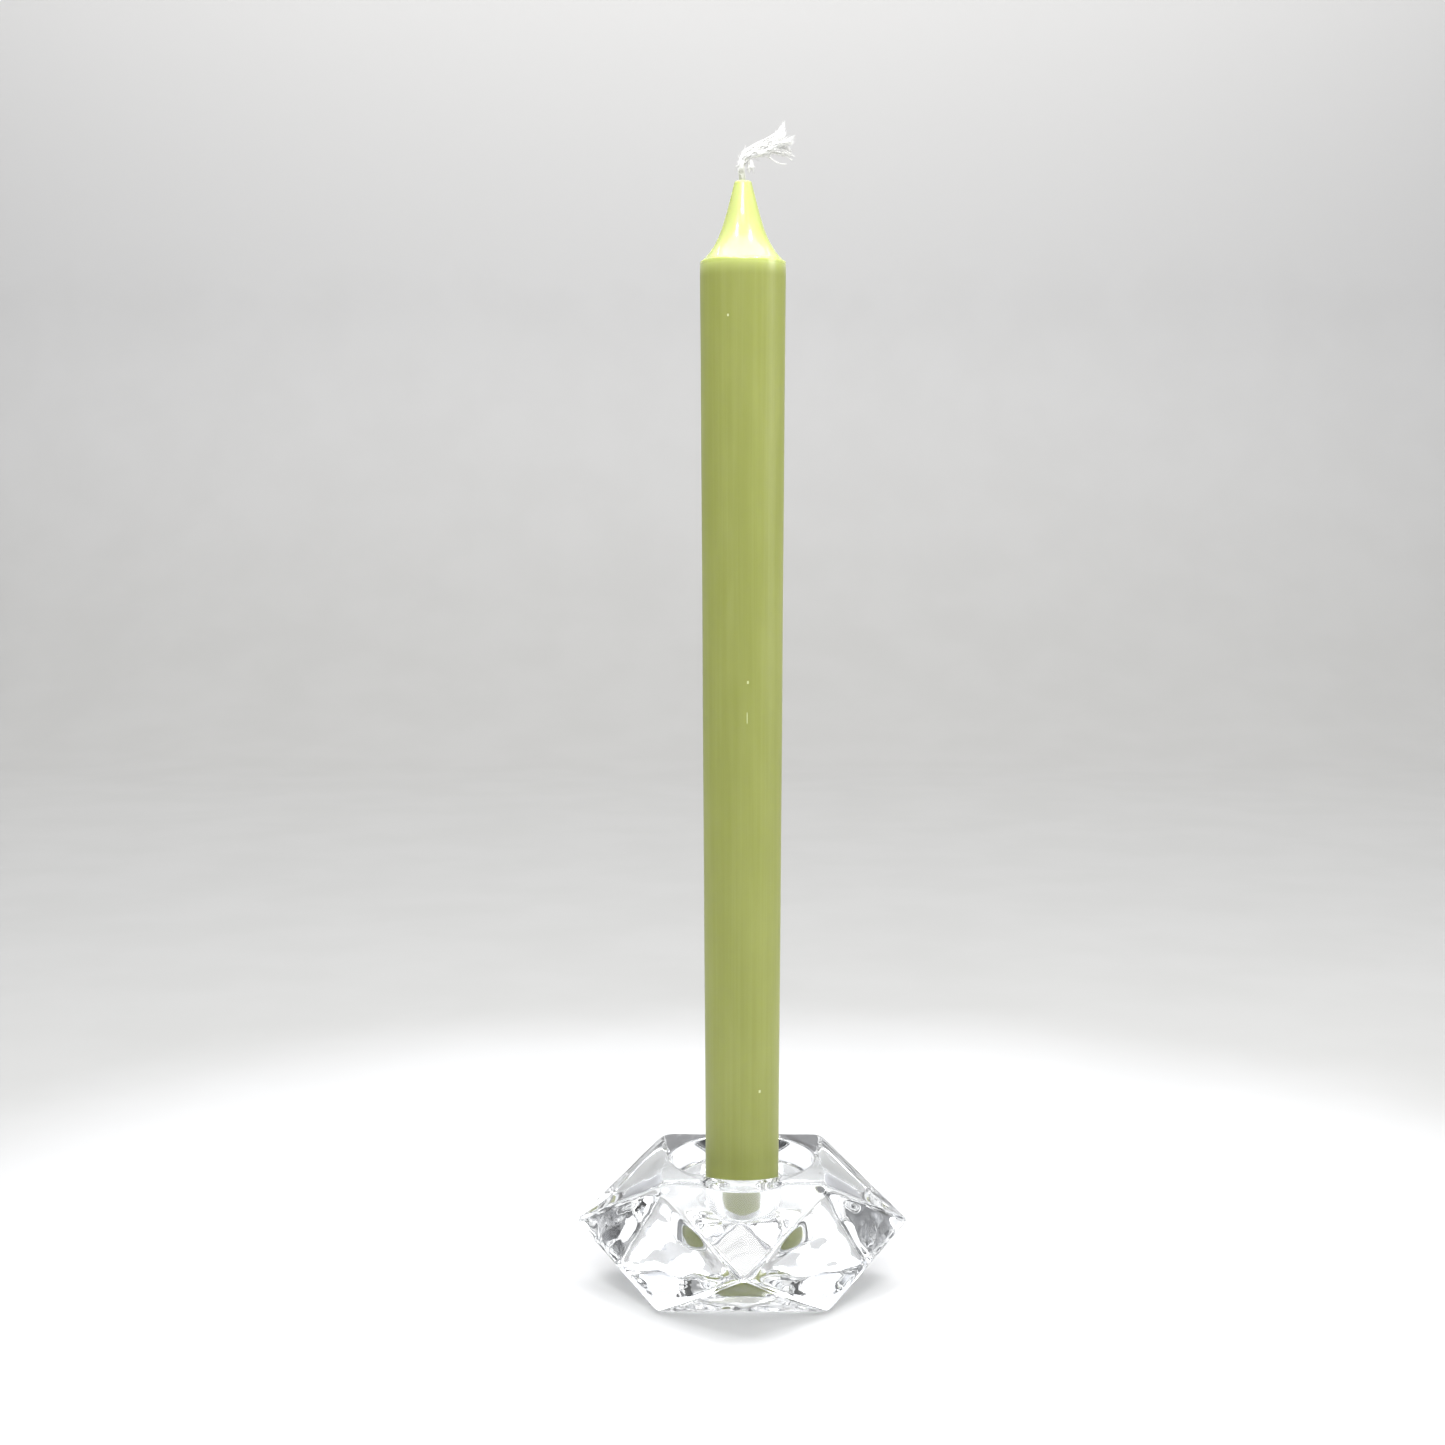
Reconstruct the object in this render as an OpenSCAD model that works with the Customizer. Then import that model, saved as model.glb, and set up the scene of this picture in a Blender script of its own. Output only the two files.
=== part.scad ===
// Pressed glass candle holder with its dinner candle.
// The glass is a low square block with every corner cut back to the middles of its edges, so it
// has a square top, a square base, four points around its waist and twelve more faces between
// them. A round well in the top takes a tealight, and a socket in the well's floor takes the foot
// of a dinner candle. The candle lifts straight up out of the socket along +Z.

/* [Glass holder] */
// Width of the glass from one waist point to the opposite one
holder_across = 95.6; // [92:0.2:100]
// Height of the glass
holder_h = 38; // [36:0.5:42]
// Half the side of the flat square at the top and at the base
square_half = 22.4; // [22:0.1:24]
// Rounding of every edge and point of the glass
edge_r = 1.6; // [1:0.1:2]

/* [Tealight well] */
// Radius of the well at its rim
well_rim_r = 20.7; // [20.4:0.1:21.2]
// Radius of the well at its floor
well_floor_r = 19.8; // [19.5:0.1:20.2]
// Depth of the well below the rim
well_depth = 6.5; // [5.5:0.5:8]
// Rounding between the wall of the well and its floor
well_fillet = 1.2; // [0.6:0.1:2]

/* [Candle socket] */
// Radius of the socket at its mouth
socket_mouth_r = 11.4; // [11.3:0.05:11.8]
// Radius of the socket just above its floor
socket_floor_r = 11; // [10.9:0.05:11.2]
// Depth of the socket below the floor of the well
socket_depth = 15.5; // [12:0.5:16]
// Rounding between the wall of the socket and its floor
socket_fillet = 1.6; // [1:0.1:2]

/* [Candle] */
// Overall length of the wax, foot to tip
candle_len = 300; // [200:5:320]
// Radius of the candle just above its foot
candle_foot_r = 10.5; // [10:0.05:10.55]
// Radius of the candle at its shoulder, where the tip begins
candle_shoulder_r = 12; // [11.2:0.05:12.2]
// Height of the pointed tip above the shoulder
tip_h = 22.1; // [18:0.1:28]
// Radius of the wax where the wick comes out
tip_r = 2.3; // [1.8:0.1:2.6]
// Bevel around the foot
foot_bevel = 2; // [1.8:0.1:3]
// Height of the rounded lip at the shoulder
shoulder_lip = 0.5; // [0.4:0.1:1.2]

/* [Wick] */
// Radius of the braided wick inside the wax
wick_r = 0.85; // [0.8:0.05:1]
// Radius of the bare wick above the wax
wick_bare_r = 0.75; // [0.6:0.05:0.75]
// Overall reach of the bent wick to the side
wick_reach = 14.8; // [12:0.2:16]
// Overall rise of the frayed end above the wax
wick_rise = 16.2; // [14:0.2:18]

/* [Hidden] */

waist_z = holder_h / 2;
waist_reach = holder_across / 2 - edge_r;
well_floor_z = holder_h - well_depth;
socket_floor_z = well_floor_z - socket_depth;

shoulder_z = socket_floor_z + candle_len - tip_h;
candle_tip_z = socket_floor_z + candle_len;
// Share of the tip's taper that is straight, and how sharply the rest flares at the shoulder
tip_straight = 0.62;
tip_flare = 5;
tip_steps = 24;
// Height of the foot's bevel for each unit of its width
bevel_slope = 1.5;
// How far a cut runs past the face it opens
clear = 1;

// Centre line of the bare wick, from just inside the wax, as shares of its reach and of its rise
wick_line = [
    [0.00, -0.06], [0.01, 0.16], [0.03, 0.30], [0.08, 0.40], [0.17, 0.45], [0.30, 0.47],
    [0.44, 0.50], [0.56, 0.55], [0.66, 0.60]
];
// Balls that the frayed tuft is drawn around: share of reach, share of rise, radius
wick_tuft = [
    [0.66, 0.60, 1], [0.80, 0.945, 0.9], [0.945, 0.53, 0.8], [0.93, 0.41, 0.7], [0.9, 0.75, 0.8]
];
wick_lean_y = -0.6;
wick_sides = 12;

// Points of a quarter round of radius r about centre c, from angle a0 to angle a1
function arc(c, r, a0, a1, steps = 6) =
    [for (i = [0:steps]) let (a = a0 + (a1 - a0) * i / steps) [c.x + r * cos(a), c.y + r * sin(a)]];

// Radius of the tip at share t of its height: a straight taper plus a flare near the shoulder
function tip_radius(t) =
    tip_r + (candle_shoulder_r - shoulder_lip - tip_r)
        * (tip_straight * (1 - t) + (1 - tip_straight) * pow(1 - t, tip_flare));

// A point of the wick's centre line in millimetres, leaning a little to the front as it goes
function wick_point(p) = [p[0] * wick_reach, p[0] * wick_lean_y, candle_tip_z + p[1] * wick_rise];

// Direction of the wick at point i of its centre line
function wick_way(pts, i) =
    let (a = pts[max(i - 1, 0)], b = pts[min(i + 1, len(pts) - 1)], d = b - a) d / norm(d);

// Ring of points around the wick's centre line at point i, square to its direction
function wick_ring(pts, i, r) =
    let (d = wick_way(pts, i), side = [0, 1, 0], up = cross(side, d) / norm(cross(side, d)))
    [for (k = [0:wick_sides - 1]) let (a = 360 * k / wick_sides) pts[i] + r * (cos(a) * up + sin(a) * side)];

// Closed tube along a list of points, with a flat cap at each end
module tube_along(pts, r) {
    rings = [for (i = [0:len(pts) - 1]) each wick_ring(pts, i, r)];
    last = (len(pts) - 1) * wick_sides;
    walls = [
        for (i = [0:len(pts) - 2]) for (k = [0:wick_sides - 1])
            let (k2 = (k + 1) % wick_sides, a = i * wick_sides, b = a + wick_sides)
            each [[a + k, b + k2, a + k2], [a + k, b + k, b + k2]]
    ];
    caps = [
        [for (k = [0:wick_sides - 1]) k],
        [for (k = [0:wick_sides - 1]) last + wick_sides - 1 - k]
    ];
    polyhedron(points = rings, faces = concat(walls, caps), convexity = 4);
}

// Solid block with its cut corners, all edges rounded
module holder_blank() {
    hull() {
        translate([-square_half, -square_half, 0])
            cube([2 * square_half, 2 * square_half, holder_h]);
        for (z = [edge_r, holder_h - edge_r], x = [-1, 1], y = [-1, 1])
            translate([x * square_half, y * square_half, z])
                sphere(r = edge_r, $fn = 32);
        for (turn = [0:90:270])
            rotate([0, 0, turn])
                translate([waist_reach, 0, waist_z])
                    sphere(r = edge_r, $fn = 32);
    }
}

// Space of the well and of the socket below it, as one turned shape
module well_and_socket() {
    socket_corner = [socket_floor_r - socket_fillet, socket_floor_z + socket_fillet];
    well_corner = [well_floor_r - well_fillet, well_floor_z + well_fillet];
    rotate_extrude($fn = 128)
        polygon(concat(
            [[0, socket_floor_z]],
            arc(socket_corner, socket_fillet, -90, 0),
            [[socket_mouth_r, well_floor_z]],
            arc(well_corner, well_fillet, -90, 0),
            [[well_rim_r, holder_h], [well_rim_r, holder_h + clear], [0, holder_h + clear]]
        ));
}

module glass_holder() {
    color([0.86, 0.92, 0.92, 0.45])
        difference() {
            holder_blank();
            well_and_socket();
        }
}

module candle_wax() {
    lip_bottom = shoulder_z - shoulder_lip;
    color([0.66, 0.72, 0.36])
        difference() {
            rotate_extrude($fn = 128)
                polygon(concat(
                    [[0, socket_floor_z], [candle_foot_r - foot_bevel, socket_floor_z]],
                    [[candle_foot_r, socket_floor_z + bevel_slope * foot_bevel]],
                    arc([candle_shoulder_r - shoulder_lip, lip_bottom], shoulder_lip, 0, 90, 4),
                    [for (i = [1:tip_steps]) [tip_radius(i / tip_steps), shoulder_z + tip_h * i / tip_steps]],
                    [[0, candle_tip_z]]
                ));
            translate([0, 0, socket_floor_z - clear])
                cylinder(r = wick_r, h = candle_len + 2 * clear, $fn = 32);
        }
}

module wick() {
    color([0.93, 0.92, 0.88]) {
        translate([0, 0, socket_floor_z])
            cylinder(r = wick_r, h = candle_len, $fn = 32);
        tube_along([for (p = wick_line) wick_point(p)], wick_bare_r);
        hull()
            for (p = wick_tuft)
                translate(wick_point(p))
                    sphere(r = p[2], $fn = 20);
    }
}

glass_holder();
candle_wax();
wick();
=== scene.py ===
"""Glass candle holder with a dinner candle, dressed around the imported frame.

The glass is worked out from the planes of its faces, with a round well and a candle socket turned
into it. It isn't closed: a ring about 0.04 mm wide is open between its flat top and the lip of the
well. The candle is a turned loop of wax with a bore, and its wick is a braided core that ends in
loose cotton fibres. All sizes are metres, in the frame's own axes.
"""

import logging
import math
from collections.abc import Sequence
from dataclasses import dataclass, field
from enum import Enum

import bmesh
import bpy
import numpy as np
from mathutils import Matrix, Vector


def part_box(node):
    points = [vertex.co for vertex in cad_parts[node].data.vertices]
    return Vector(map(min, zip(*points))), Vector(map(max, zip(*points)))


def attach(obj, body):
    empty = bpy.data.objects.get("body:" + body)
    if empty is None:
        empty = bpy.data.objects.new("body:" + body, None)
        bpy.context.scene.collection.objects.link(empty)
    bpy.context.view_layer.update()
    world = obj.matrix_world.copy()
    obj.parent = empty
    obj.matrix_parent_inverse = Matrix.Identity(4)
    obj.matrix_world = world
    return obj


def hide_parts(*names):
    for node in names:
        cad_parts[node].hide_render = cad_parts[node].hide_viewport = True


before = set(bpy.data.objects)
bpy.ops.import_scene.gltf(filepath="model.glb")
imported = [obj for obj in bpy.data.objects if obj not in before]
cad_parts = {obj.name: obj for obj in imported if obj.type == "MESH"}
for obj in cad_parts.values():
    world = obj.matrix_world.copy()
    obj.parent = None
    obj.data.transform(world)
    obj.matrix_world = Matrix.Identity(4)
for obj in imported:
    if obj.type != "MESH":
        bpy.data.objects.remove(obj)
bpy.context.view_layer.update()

LOG = logging.getLogger("candle_holder")
MM = 0.001


class Body(Enum):
    """The rigid bodies of the frame that pieces ride on."""

    HOLDER = "holder"
    CANDLE = "candle"


class Slot(Enum):
    """The record's material slots."""

    GLASS = "clear_glass"
    WAX = "green_wax"
    COTTON = "cotton_wick"


# ---- shader expressions


class Value:
    """A shader socket that carries a number and can be used in a Python expression."""

    def __init__(self, shader: "Shader", socket: bpy.types.NodeSocket) -> None:
        """Wraps an output socket.

        Args:
            shader: The material's tree that holds the socket.
            socket: The output that carries the number.
        """
        self.shader = shader
        self.socket = socket

    def __add__(self, other: "Value | float") -> "Value":
        """Sum."""
        return self.shader.math("ADD", self, other)

    __radd__ = __add__

    def __sub__(self, other: "Value | float") -> "Value":
        """Difference."""
        return self.shader.math("SUBTRACT", self, other)

    def __rsub__(self, other: float) -> "Value":
        """Difference with the number first."""
        return self.shader.math("SUBTRACT", other, self)

    def __mul__(self, other: "Value | float") -> "Value":
        """Product."""
        return self.shader.math("MULTIPLY", self, other)

    __rmul__ = __mul__

    def __abs__(self) -> "Value":
        """Absolute value."""
        return self.shader.math("ABSOLUTE", self)

    def ramp(self, low: float, high: float) -> "Value":
        """A smooth step from 0 at low to 1 at high.

        Args:
            low: The value at which the step starts.
            high: The value at which it ends; it may be less than low, which turns the step round.

        Returns:
            The step, between 0 and 1.
        """
        node = self.shader.node(
            "ShaderNodeMapRange",
            {"interpolation_type": "SMOOTHSTEP"},
            {"Value": self, "From Min": low, "From Max": high, "To Min": 0.0, "To Max": 1.0},
        )
        return Value(self.shader, node.outputs["Result"])


Colour = tuple[float, float, float]


class Shader:
    """One node tree, with a method that adds any node and a few that read well in expressions."""

    def __init__(self, tree: bpy.types.NodeTree) -> None:
        """Empties a tree and keeps it.

        Args:
            tree: The node tree of a material or of the world.
        """
        self.tree = tree
        tree.nodes.clear()

    def node(
        self, kind: str, settings: dict[str, object] | None = None, inputs: dict | None = None
    ) -> bpy.types.Node:
        """Adds a node.

        Args:
            kind: The node's type, such as ShaderNodeMath.
            settings: Its own settings, such as a Math node's operation, set first.
            inputs: Values, or links from other sockets, by the input's name or number.

        Returns:
            The new node.
        """
        made = self.tree.nodes.new(kind)
        for name, value in (settings or {}).items():
            setattr(made, name, value)
        for name, value in (inputs or {}).items():
            self.put(made.inputs[name], value)
        return made

    def put(self, socket: bpy.types.NodeSocket, value: object) -> None:
        """Links a socket, or sets its own value.

        Args:
            socket: The input to feed.
            value: A Value, another output socket, a number, a colour or a vector.
        """
        if isinstance(value, Value):
            self.tree.links.new(value.socket, socket)
        elif isinstance(value, bpy.types.NodeSocket):
            self.tree.links.new(value, socket)
        elif socket.type == "RGBA" and len(value) == 3:
            socket.default_value = (*value, 1.0)
        else:
            socket.default_value = value

    def math(self, operation: str, *values: "Value | float") -> Value:
        """One Math node on one or more values."""
        made = self.node("ShaderNodeMath", {"operation": operation}, dict(enumerate(values)))
        return Value(self, made.outputs[0])

    def place(self, scale: Sequence[float] = (1, 1, 1)) -> bpy.types.NodeSocket:
        """The piece's own coordinates in metres, stretched.

        Args:
            scale: The factor on each axis.

        Returns:
            The scaled vector.
        """
        where = self.node("ShaderNodeTexCoord").outputs["Object"]
        settings = {"operation": "MULTIPLY"}
        return self.node("ShaderNodeVectorMath", settings, {0: where, 1: tuple(scale)}).outputs[0]

    def axes(self) -> tuple[Value, Value, Value]:
        """The piece's own x, y and z in metres."""
        split = self.node("ShaderNodeSeparateXYZ", {}, {0: self.place()})
        return tuple(Value(self, split.outputs[k]) for k in range(3))

    def noise(self, scale: Sequence[float], detail: float = 2.0, rough: float = 0.5) -> Value:
        """Fractal noise on the piece's own coordinates.

        Args:
            scale: Cells per metre on each axis.
            detail: Number of finer octaves.
            rough: How strong the finer octaves are.

        Returns:
            A value around 0.5.
        """
        inputs = {"Vector": self.place(scale), "Scale": 1.0, "Detail": detail, "Roughness": rough}
        return Value(self, self.node("ShaderNodeTexNoise", {}, inputs).outputs[0])

    def mix(self, factor: Value | float, first: object, second: object) -> bpy.types.NodeSocket:
        """A colour between two colours.

        Args:
            factor: 0 for the first colour, 1 for the second.
            first: A colour or a colour socket.
            second: A colour or a colour socket.

        Returns:
            The mixed colour.
        """
        made = self.node("ShaderNodeMix", {"data_type": "RGBA"}, {0: factor, 6: first, 7: second})
        return made.outputs[2]

    def bump(self, height: Value, distance: float, strength: float = 1.0) -> bpy.types.NodeSocket:
        """A normal tilted by a height.

        Args:
            height: The height, in units of distance.
            distance: The real height of one unit, in metres.
            strength: How much of the tilt is used.

        Returns:
            The normal.
        """
        inputs = {"Height": height, "Distance": distance, "Strength": strength}
        return self.node("ShaderNodeBump", {}, inputs).outputs[0]

    def surface(self, kind: str, inputs: dict, output: str = "ShaderNodeOutputMaterial") -> None:
        """Adds the closing shader and its output.

        Args:
            kind: The shader node's type.
            inputs: Its sockets' values or links.
            output: The type of the output node.
        """
        shader = self.node(kind, {}, inputs)
        self.node(output, {}, {"Surface": shader.outputs[0]})


def new_material(name: str) -> tuple[bpy.types.Material, Shader]:
    """Makes an empty node material.

    Args:
        name: The material's name.

    Returns:
        The material and its shader tree.
    """
    material = bpy.data.materials.new(name)
    material.use_nodes = True
    return material, Shader(material.node_tree)


# ---- finishes


@dataclass(frozen=True)
class PressedGlass:
    """Clear fire-polished glass with faint cooling ripples."""

    tint: Colour = (0.955, 0.966, 0.972)
    handled_tint: Colour = (0.94, 0.955, 0.962)
    ior: float = 1.47
    ripple_height: float = 0.075 * MM
    ripple_cells: float = 130.0
    smear_roughness: float = 0.02
    smear_cells: float = 45.0
    smear_range: tuple[float, float] = (0.5, 0.75)

    def material(self) -> bpy.types.Material:
        """Builds the glass: nearly colourless, a little rougher where it has been handled."""
        made, shader = new_material("pressed_glass")
        ripple = shader.noise((self.ripple_cells,) * 3, 1.0)
        smear = shader.noise((self.smear_cells,) * 3, 3.0).ramp(*self.smear_range)
        shader.surface(
            "ShaderNodeBsdfPrincipled",
            {
                "Base Color": shader.mix(smear, self.tint, self.handled_tint),
                "Roughness": smear * self.smear_roughness,
                "IOR": self.ior,
                "Transmission Weight": 1.0,
                "Normal": shader.bump(ripple, self.ripple_height),
            },
        )
        return made


Mark = tuple[float, float, float, float]


@dataclass(frozen=True)
class CandleWax:
    """Dyed stearin: semi-matt drawn body with fine upright streaks, and a dipped glossy tip painted
    paler for the light it catches.
    """

    shoulder_z: float
    foot_z: float
    body: Colour = (0.30, 0.328, 0.084)
    streak: Colour = (0.345, 0.373, 0.112)
    # painted light: the tip's paler, yellower colour stands in for the light the upturned cone
    # catches from above and lets through its thin wax
    tip: Colour = (0.53, 0.59, 0.20)
    scratch: Colour = (0.75, 0.8, 0.5)
    body_roughness: float = 0.42
    tip_roughness: float = 0.3
    tip_coat: float = 0.6
    # how far below the shoulder the tip's gloss and its painted light fade in
    tip_fade: float = 5 * MM
    coat_roughness: float = 0.03
    ior: float = 1.44
    depth_share: float = 0.55
    depth_colour: Colour = (1.0, 1.1, 0.35)
    depth: float = 3.0 * MM
    relief: float = 0.05 * MM
    marks: tuple[Mark, ...] = (
        (1.2 * MM, 151 * MM, 0.16 * MM, 1.9 * MM),
        (1.4 * MM, 161 * MM, 0.35 * MM, 0.5 * MM),
        (-4.2 * MM, 262 * MM, 0.3 * MM, 0.4 * MM),
        (4.9 * MM, 44 * MM, 0.4 * MM, 0.5 * MM),
    )

    def pale(self, shader: Shader, mark: Mark) -> Value:
        """1 on a mark, given by x, height above the foot, half its width and half its height."""
        x, above_foot, wide, high = mark
        along_x, along_y, along_z = shader.axes()
        across = abs(along_x - x).ramp(wide, wide * 0.4)
        upright = abs(along_z - (self.foot_z + above_foot)).ramp(high, high * 0.6)
        return across * upright * along_y.ramp(0.0, -1 * MM)

    def material(self) -> bpy.types.Material:
        """Builds the wax, with its streaks, its scratches, the change of gloss at the tip and the
        painted light on the tip.
        """
        made, shader = new_material("candle_wax")
        height = shader.axes()[2]
        lines = shader.noise((900, 900, 9), 3.0, 0.6)
        cloud = shader.noise((120, 120, 30), 3.0)
        # the tip mask carries the real change of gloss and the painted light on the tip; its fade
        # below the shoulder paints the shading across the shoulder
        tip = height.ramp(self.shoulder_z - self.tip_fade, self.shoulder_z)
        first, *others = (self.pale(shader, mark) for mark in self.marks)
        marks = sum(others, first)
        streaked = lines.ramp(0.35, 0.7) * 0.5 + cloud.ramp(0.4, 0.75) * 0.5
        body = shader.mix(streaked, self.body, self.streak)
        # the mix from body to tip colour is painted light
        colour = shader.mix(marks * 0.8, shader.mix(tip, body, self.tip), self.scratch)
        relief = lines * 0.7 + cloud * 0.6 - marks
        shader.surface(
            "ShaderNodeBsdfPrincipled",
            {
                "Base Color": colour,
                "Roughness": shader.math(
                    "ADD",
                    self.body_roughness + (1 - tip) * lines * 0.1 - 0.05,
                    tip * (self.tip_roughness - self.body_roughness),
                ),
                "IOR": self.ior,
                "Coat Weight": tip * self.tip_coat,
                "Coat Roughness": self.coat_roughness,
                "Subsurface Weight": self.depth_share,
                "Subsurface Radius": self.depth_colour,
                "Subsurface Scale": self.depth,
                "Normal": shader.bump(relief * (1 - tip), self.relief, 0.6),
            },
        )
        return made


@dataclass(frozen=True)
class Cotton:
    """Bleached cotton that is grey and waxed where it leaves the candle."""

    wax_top_z: float
    soak_height: float
    clean: Colour = (0.99, 0.99, 0.98)
    creamy: Colour = (0.96, 0.955, 0.93)
    waxed: Colour = (0.40, 0.41, 0.33)
    glow: Colour = (0.98, 0.98, 0.96)
    translucency: float = 0.12

    def material(self) -> bpy.types.Material:
        """Builds the cotton, with its fuzz and the wax that has soaked up from below."""
        made, shader = new_material("cotton")
        height = shader.axes()[2]
        fuzz = shader.noise((2500, 2500, 2500), 2.0)
        soak = (height + fuzz * 1.2 * MM).ramp(
            self.wax_top_z + self.soak_height, self.wax_top_z + 0.55 * self.soak_height
        )
        clean = shader.mix(fuzz, self.clean, self.creamy)
        colour = shader.mix(soak * 0.9, clean, self.waxed)
        solid = shader.node(
            "ShaderNodeBsdfPrincipled",
            {},
            {
                "Base Color": colour,
                "Roughness": 0.85 - soak * 0.45,
                "Sheen Weight": 1.0,
                "Normal": shader.bump(fuzz, 0.05 * MM, 0.7),
            },
        )
        glow = shader.node("ShaderNodeBsdfTranslucent", {}, {"Color": self.glow})
        through = (1 - soak) * self.translucency
        shader.surface(
            "ShaderNodeMixShader", {0: through, 1: solid.outputs[0], 2: glow.outputs[0]}
        )
        return made


@dataclass(frozen=True)
class Paper:
    """Matt paper with a painted pool of light round the object: painted shade darkens the floor
    away from it and fades out up the wall.
    """

    # near is the painted pool of light round the object, away the painted shade further off on the
    # floor
    near: Colour = (0.60, 0.60, 0.60)
    away: Colour = (0.40, 0.397, 0.386)
    painted_shade_square: tuple[float, float] = (0.01, 0.14)
    wall_fade: float = 0.60
    roughness: float = 0.8
    specular: float = 0.2

    def material(self) -> bpy.types.Material:
        """Builds the paper, its painted shade graded by the square of the distance from the object.
        """
        made, shader = new_material("paper")
        x, y, height = shader.axes()
        # painted shade: darker with distance from the object on the floor, fading out up the wall
        # so the wall is paler towards the top
        away = (x * x + y * y).ramp(*self.painted_shade_square) * (1 - height.ramp(0.0, self.wall_fade))
        grain = shader.noise((14, 14, 14), 3.0).ramp(0.3, 0.7)
        shader.surface(
            "ShaderNodeBsdfPrincipled",
            {
                "Base Color": shader.mix(away - grain * 0.06, self.near, self.away),
                "Roughness": self.roughness,
                "Specular IOR Level": self.specular,
                "Normal": shader.bump(shader.noise((900, 900, 900)), 0.02 * MM, 0.3),
            },
        )
        return made


# ---- surfaces


def grid_faces(
    rows: int, cols: int, wrap_rows: bool = False, wrap_cols: bool = False
) -> np.ndarray:
    """Four-sided faces that join the points of a grid.

    Args:
        rows: Number of rows of points.
        cols: Number of points in a row.
        wrap_rows: Whether the last row joins the first.
        wrap_cols: Whether the last column joins the first.

    Returns:
        Point numbers, four for each face.
    """
    i = np.arange(rows if wrap_rows else rows - 1)[:, None]
    j = np.arange(cols if wrap_cols else cols - 1)[None, :]
    below, above = i * cols, (i + 1) % rows * cols
    after = (j + 1) % cols
    return np.stack([below + j, below + after, above + after, above + j], -1).reshape(-1, 4)


def linked(name: str, data: bpy.types.ID) -> bpy.types.Object:
    """A new object on some data, linked to the scene."""
    made = bpy.data.objects.new(name, data)
    bpy.context.scene.collection.objects.link(made)
    return made


@dataclass
class Shell:
    """Grids of points that are welded where they meet."""

    points: list[np.ndarray] = field(default_factory=list)
    faces: list[np.ndarray] = field(default_factory=list)
    count: int = 0

    def add(self, grid: np.ndarray, wrap_rows: bool = False, wrap_cols: bool = False) -> None:
        """Adds a grid.

        Args:
            grid: Points as rows, columns and x, y, z.
            wrap_rows: Whether the last row joins the first.
            wrap_cols: Whether the last column joins the first.
        """
        rows, cols = grid.shape[:2]
        self.points.append(grid.reshape(-1, 3))
        self.faces.append(grid_faces(rows, cols, wrap_rows, wrap_cols) + self.count)
        self.count += rows * cols

    def build(self, name: str, weld: float = 0.002 * MM) -> bpy.types.Object:
        """Makes the object, welds the seams and poles, and turns every face outwards.

        Args:
            name: The piece's name.
            weld: Points nearer than this become one.

        Returns:
            The new object, linked to the scene.
        """
        mesh = bpy.data.meshes.new(name)
        mesh.from_pydata(np.concatenate(self.points), [], np.concatenate(self.faces).tolist())
        work = bmesh.new()
        work.from_mesh(mesh)
        bmesh.ops.remove_doubles(work, verts=work.verts, dist=weld)
        bmesh.ops.recalc_face_normals(work, faces=work.faces)
        work.to_mesh(mesh)
        work.free()
        mesh.polygons.foreach_set("use_smooth", np.ones(len(mesh.polygons), bool))
        return linked(name, mesh)


def rounded_path(
    corners: Sequence[Sequence[float]], radii: Sequence[float], step: float
) -> np.ndarray:
    """A profile of straight runs with a round at each inner corner.

    Each round is the arc of its radius that touches both runs: its centre lies on the bisector of
    the corner, at radius over the sine of half the corner's angle.

    Args:
        corners: The profile's corners, radius and height.
        radii: The radius at each inner corner.
        step: The longest distance between points on a straight run.

    Returns:
        The profile's points, in order.
    """
    corner = np.array(corners, float)
    runs = [corner[:1]]
    for k, radius in enumerate(radii, start=1):
        back = (corner[k - 1] - corner[k]) / np.linalg.norm(corner[k - 1] - corner[k])
        ahead = (corner[k + 1] - corner[k]) / np.linalg.norm(corner[k + 1] - corner[k])
        half = math.acos(float(back @ ahead)) / 2
        middle = corner[k] + (back + ahead) / np.linalg.norm(back + ahead) * radius / math.sin(half)
        sweep = math.pi - 2 * half
        first = (corner[k] + back * radius / math.tan(half) - middle) / radius
        last = (corner[k] + ahead * radius / math.tan(half) - middle) / radius
        across = (last - first * math.cos(sweep)) / math.sin(sweep)
        turn = np.linspace(0, sweep, 3 + int(sweep * 6))[:, None]
        runs.append(middle + radius * (np.cos(turn) * first + np.sin(turn) * across))
    runs.append(corner[-1:])
    filled = []
    for one, two in zip(runs, runs[1:]):
        gap = np.linalg.norm(two[0] - one[-1])
        share = np.linspace(0, 1, 2 + int(gap / step))[1:-1, None]
        filled += [one, one[-1] + share * (two[0] - one[-1])]
    return np.concatenate([*filled, runs[-1]])


def turned(profile: np.ndarray, angles: np.ndarray) -> np.ndarray:
    """Turns a profile about the Z axis: x is radius times cosine, y radius times sine.

    Args:
        profile: Radius and height of each point.
        angles: The angles of the columns, in radians.

    Returns:
        A grid of points.
    """
    radius, height = profile[:, :1], profile[:, 1:]
    return np.stack(
        [radius * np.cos(angles), radius * np.sin(angles), height + 0 * angles], axis=-1
    )


def smooth_curve(points: np.ndarray, count: int) -> np.ndarray:
    """A Catmull-Rom curve through points, evenly spaced in its parameter.

    Each stretch between two points is the cubic whose slope at a point is half the step from the
    point before to the point after.

    Args:
        points: The points to pass through.
        count: How many points to return.

    Returns:
        Points on the curve.
    """
    ends = np.concatenate([[2 * points[0] - points[1]], points, [2 * points[-1] - points[-2]]])
    place = np.linspace(0, len(points) - 1, count)
    k = np.minimum(place.astype(int), len(points) - 2)
    t = (place - k)[:, None]
    a, b, c, d = ends[k], ends[k + 1], ends[k + 2], ends[k + 3]
    square, cube = 2 * a - 5 * b + 4 * c - d, 3 * b - a - 3 * c + d
    return 0.5 * (2 * b + (c - a) * t + square * t**2 + cube * t**3)


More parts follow.
